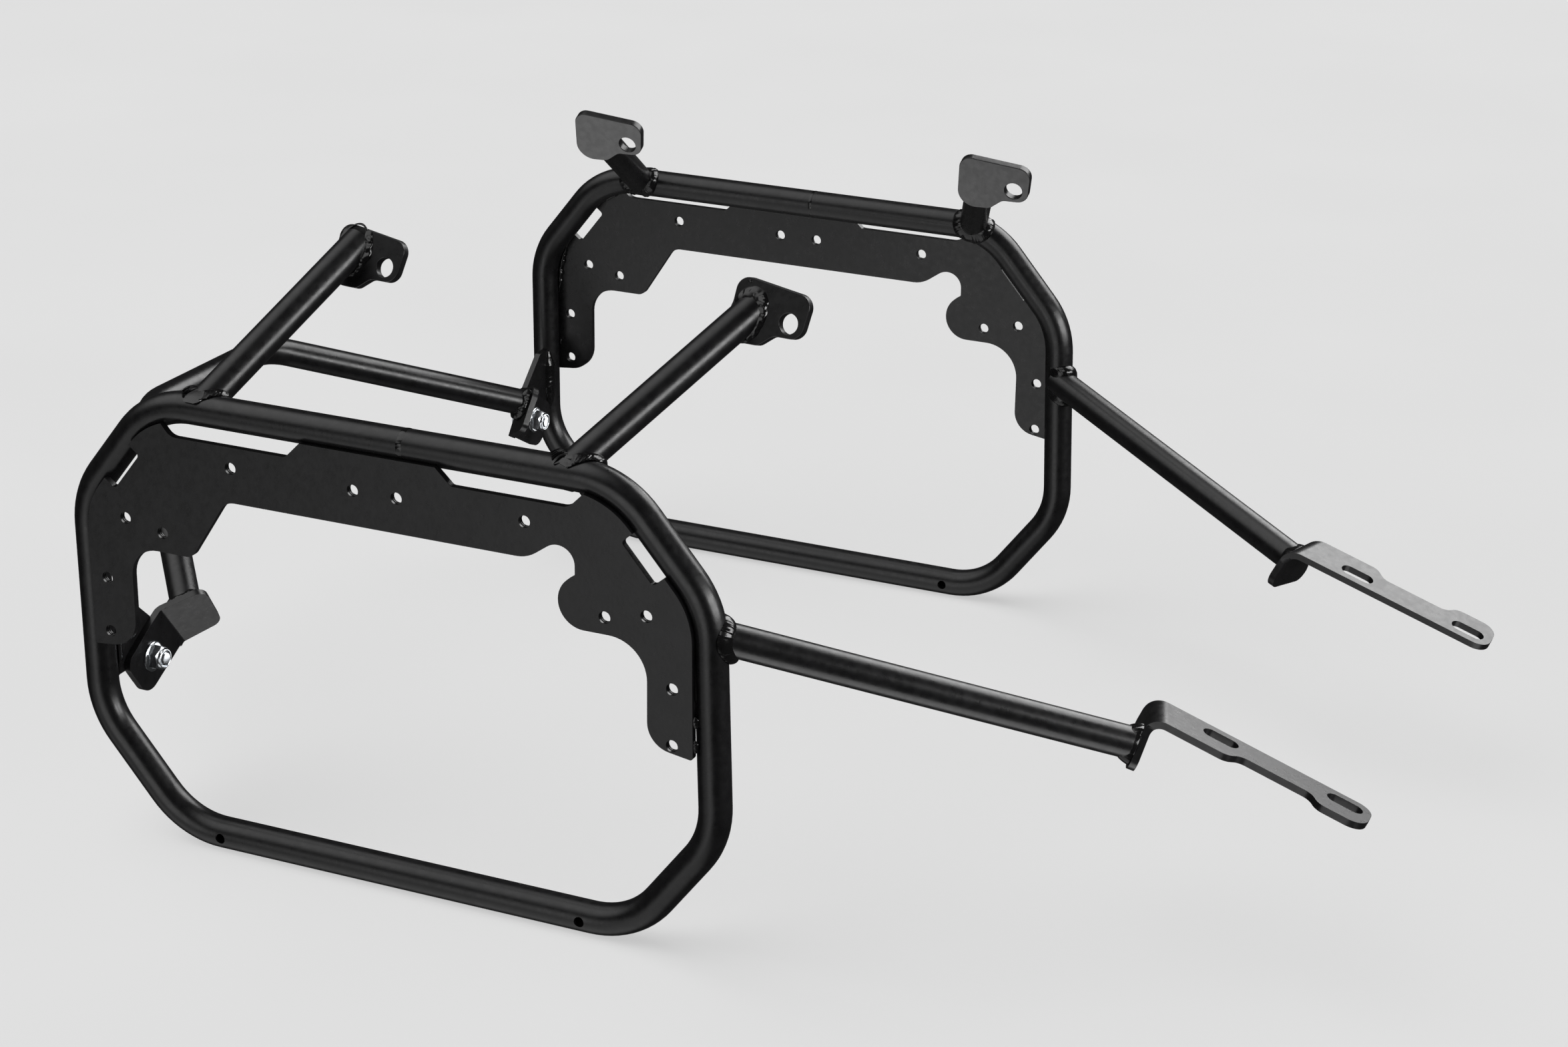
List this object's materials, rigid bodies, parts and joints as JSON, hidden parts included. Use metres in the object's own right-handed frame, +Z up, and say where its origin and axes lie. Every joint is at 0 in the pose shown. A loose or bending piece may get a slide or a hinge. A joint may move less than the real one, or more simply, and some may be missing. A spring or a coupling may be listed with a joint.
{
  "type": "motorbike pannier frame",
  "caption": "Motorbike pannier frame of bent-tube side hoops with drilled mounting plates, welded stays to bolt lugs and slotted brackets, and a bolted rear cross tube.",
  "frame": {"origin": "centre of the footprint, on the surface that the hoops' bottom tubes stand on", "axes": "+X to the front of the motorbike, +Y to its left side, +Z up"},
  "size_m": [0.8153, 0.5562, 0.3444],
  "materials": {
    "powder_coat": "satin black powder coat",
    "zinc_plate": "bright zinc plate"
  },
  "bodies": {
    "root": {"cross_tube": "powder_coat", "left_hoop": "powder_coat", "left_mounting_plate": "powder_coat", "left_rear_stay": "powder_coat", "left_rear_lug": "powder_coat", "left_front_stay": "powder_coat", "left_front_lug": "powder_coat", "left_forward_stay": "powder_coat", "left_forward_bracket": "powder_coat", "left_rear_gusset": "powder_coat", "left_cross_end_plate": "powder_coat", "left_gusset_bolt": "zinc_plate", "left_washer": "zinc_plate", "left_flange_nut": "zinc_plate", "right_hoop": "powder_coat", "right_mounting_plate": "powder_coat", "right_rear_stay": "powder_coat", "right_rear_lug": "powder_coat", "right_front_stay": "powder_coat", "right_front_lug": "powder_coat", "right_forward_stay": "powder_coat", "right_forward_bracket": "powder_coat", "right_rear_gusset": "powder_coat", "right_cross_end_plate": "powder_coat", "right_gusset_bolt": "zinc_plate", "right_washer": "zinc_plate", "right_flange_nut": "zinc_plate"}
  },
  "joints": []
}
